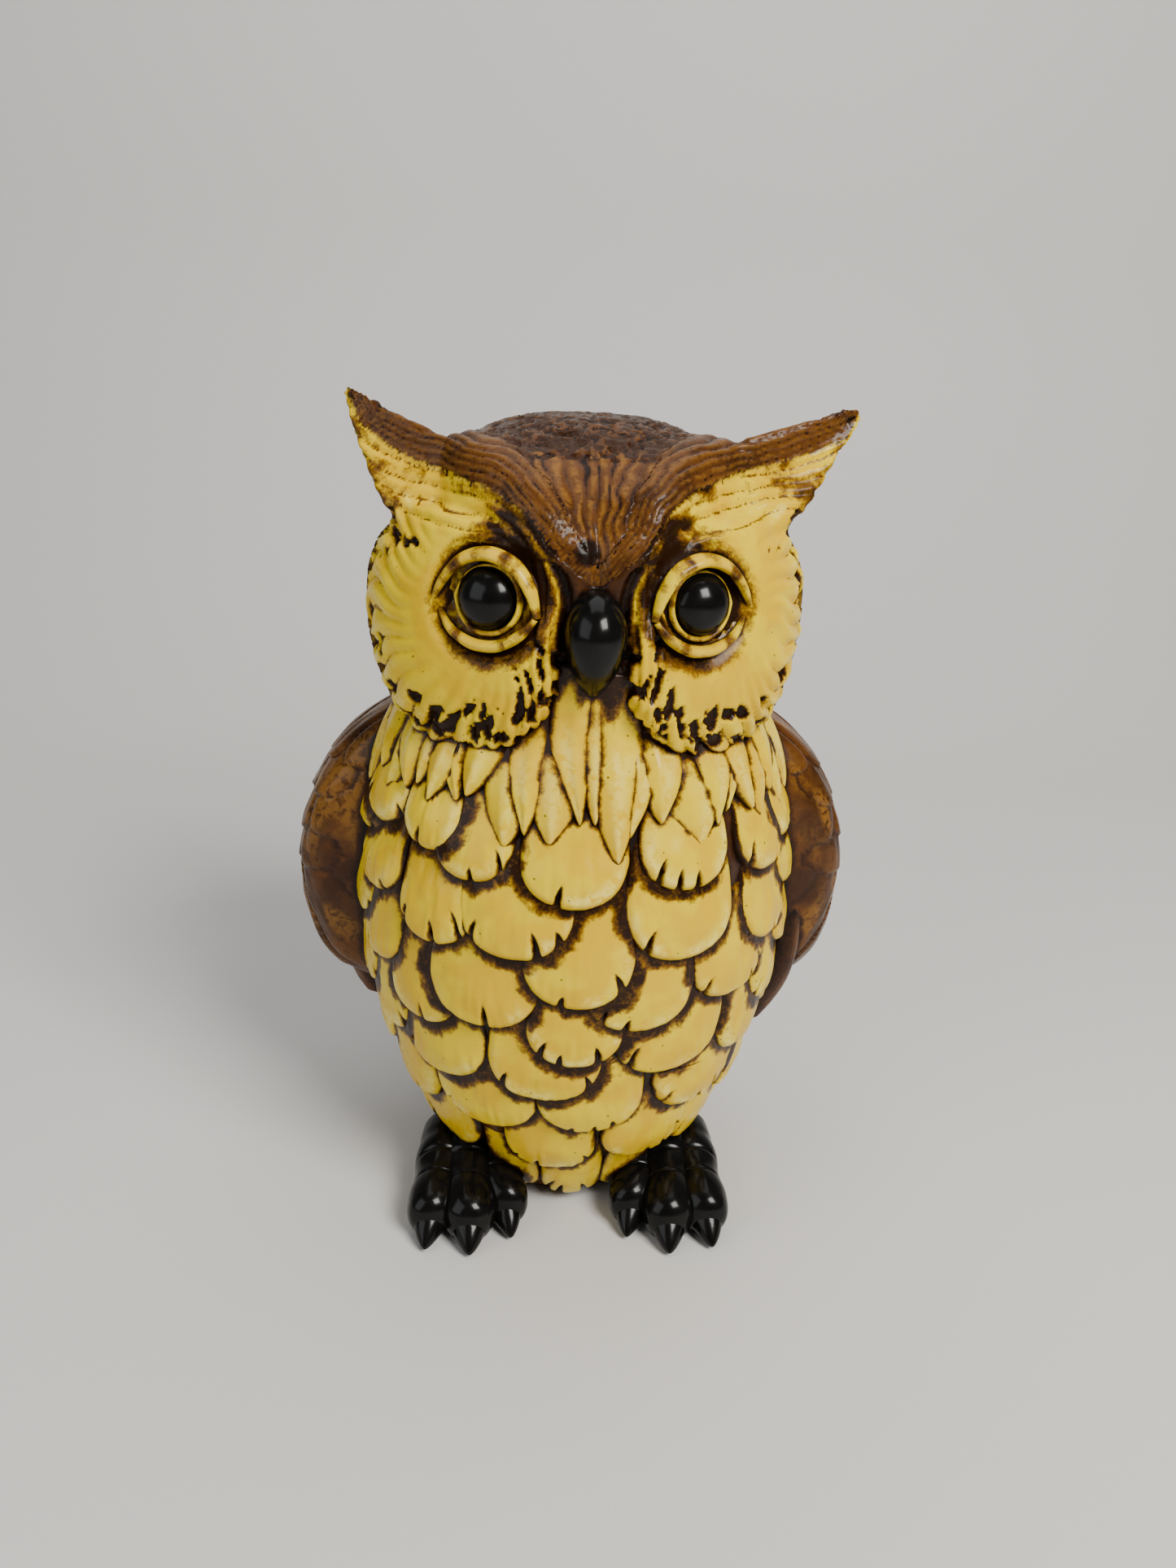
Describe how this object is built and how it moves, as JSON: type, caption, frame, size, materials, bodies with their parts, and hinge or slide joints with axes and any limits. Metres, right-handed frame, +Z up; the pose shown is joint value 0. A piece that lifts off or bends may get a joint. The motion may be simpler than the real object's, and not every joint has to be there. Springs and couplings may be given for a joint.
{
  "type": "owl figurine",
  "caption": "Free-standing glazed owl figurine with ear tufts, round face discs, overlapping breast feathers, folded wings and clawed feet.",
  "frame": {"origin": "centre of the flat base, where the drain hole's axis meets the surface that the owl stands on", "axes": "+Z up, -Y the way the owl faces, +X the owl's left"},
  "size_m": [0.167, 0.1366, 0.2354],
  "materials": {
    "brown_glaze": "satin brown glaze, rubbed back on high edges",
    "yellow_glaze": "yellow over cream with dark brown wash in the grooves, clear gloss",
    "black_gloss": "high gloss black"
  },
  "bodies": {
    "root": {"body_shell": "brown_glaze", "head_shell": "brown_glaze", "left_facial_disc": "yellow_glaze", "right_facial_disc": "yellow_glaze", "left_brow": "brown_glaze", "right_brow": "brown_glaze", "left_ear_tuft": "brown_glaze", "right_ear_tuft": "brown_glaze", "left_eye": "black_gloss", "right_eye": "black_gloss", "left_eye_rim": "yellow_glaze", "right_eye_rim": "yellow_glaze", "beak": "black_gloss", "breast_ruff": "yellow_glaze", "feather_row_1": "yellow_glaze", "feather_row_2": "yellow_glaze", "feather_row_3": "yellow_glaze", "feather_row_4": "yellow_glaze", "feather_row_5": "yellow_glaze", "feather_row_6": "yellow_glaze", "feather_row_7": "yellow_glaze", "feather_row_8": "yellow_glaze", "left_wing": "brown_glaze", "right_wing": "brown_glaze", "left_wing_tip": "brown_glaze", "right_wing_tip": "brown_glaze", "back_feathers": "brown_glaze", "tail": "brown_glaze", "left_foot": "black_gloss", "right_foot": "black_gloss", "left_claws": "black_gloss", "right_claws": "black_gloss"}
  },
  "joints": []
}
